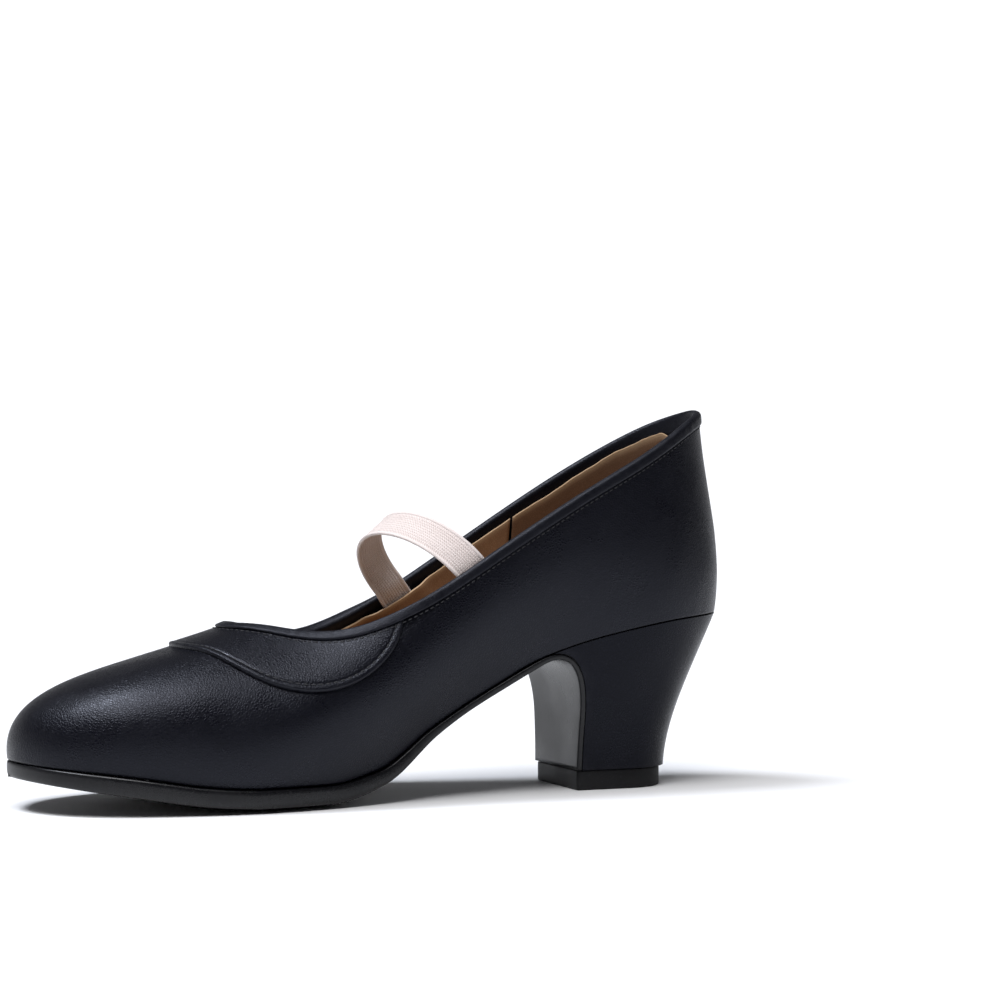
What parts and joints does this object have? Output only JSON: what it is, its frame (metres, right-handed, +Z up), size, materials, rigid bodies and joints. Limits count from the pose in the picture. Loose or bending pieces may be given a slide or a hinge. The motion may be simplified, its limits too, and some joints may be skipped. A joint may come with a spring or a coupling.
{
  "type": "heeled dance shoe",
  "caption": "Low-cut black leather heeled dance pump with a throat overlay, bound topline, covered block heel with a rubber top-lift, and an elastic instep strap.",
  "frame": {"origin": "on the floor, under the middle of the shoe box", "axes": "toe towards -X, heel towards +X, +Z up, -Y is the medial side of this right shoe"},
  "size_m": [0.2352, 0.078, 0.123],
  "materials": {
    "black_leather": "fine-grain black full leather with a soft sheen",
    "binding_leather": "thin folded black leather strip",
    "heel_leather": "smooth black leather skin",
    "sole_resin": "satin black moulded resin",
    "lift_rubber": "matt black rubber",
    "lining_tan": "unfinished tan lining leather",
    "lining_brown": "brown suede-side heel lining",
    "sock_leather": "light brown sock leather",
    "fibre_board": "pressed fibre board",
    "foam": "soft foam sheet",
    "cork": "cork filler",
    "stiffener": "heat-formed sheet",
    "heel_plastic": "moulded ABS",
    "steel": "zinc-plated steel",
    "elastic": "ribbed woven elastic, pale pink-cream"
  },
  "bodies": {
    "shoe": {"outsole": "sole_resin", "upper": "black_leather", "throat_overlay": "black_leather", "topline_binding": "binding_leather", "vamp_lining": "lining_tan", "heel_lining": "lining_brown", "toe_puff": "stiffener", "heel_counter": "stiffener", "insole_board": "fibre_board", "sock_foam": "foam", "sock_lining": "sock_leather", "bottom_filler": "cork", "shank": "steel", "heel_block": "heel_plastic", "heel_cover": "heel_leather", "top_lift": "lift_rubber", "top_lift_pin_1": "steel", "top_lift_pin_2": "steel", "heel_nail_1": "steel", "heel_nail_2": "steel", "heel_nail_3": "steel", "heel_nail_4": "steel", "heel_screw": "steel", "strap_end_medial": "elastic", "strap_end_lateral": "elastic"},
    "strap": {"strap_band": "elastic"}
  },
  "joints": [
    {"name": "strap_swing", "type": "hinge", "parent": "shoe", "child": "strap", "pos_m": [0.01155, 0, 0.07396], "axis": [-0.1778, 0.978, -0.1088], "range_deg": [-28, 28], "stiffness_Nm_per_rad": 0.01}
  ]
}
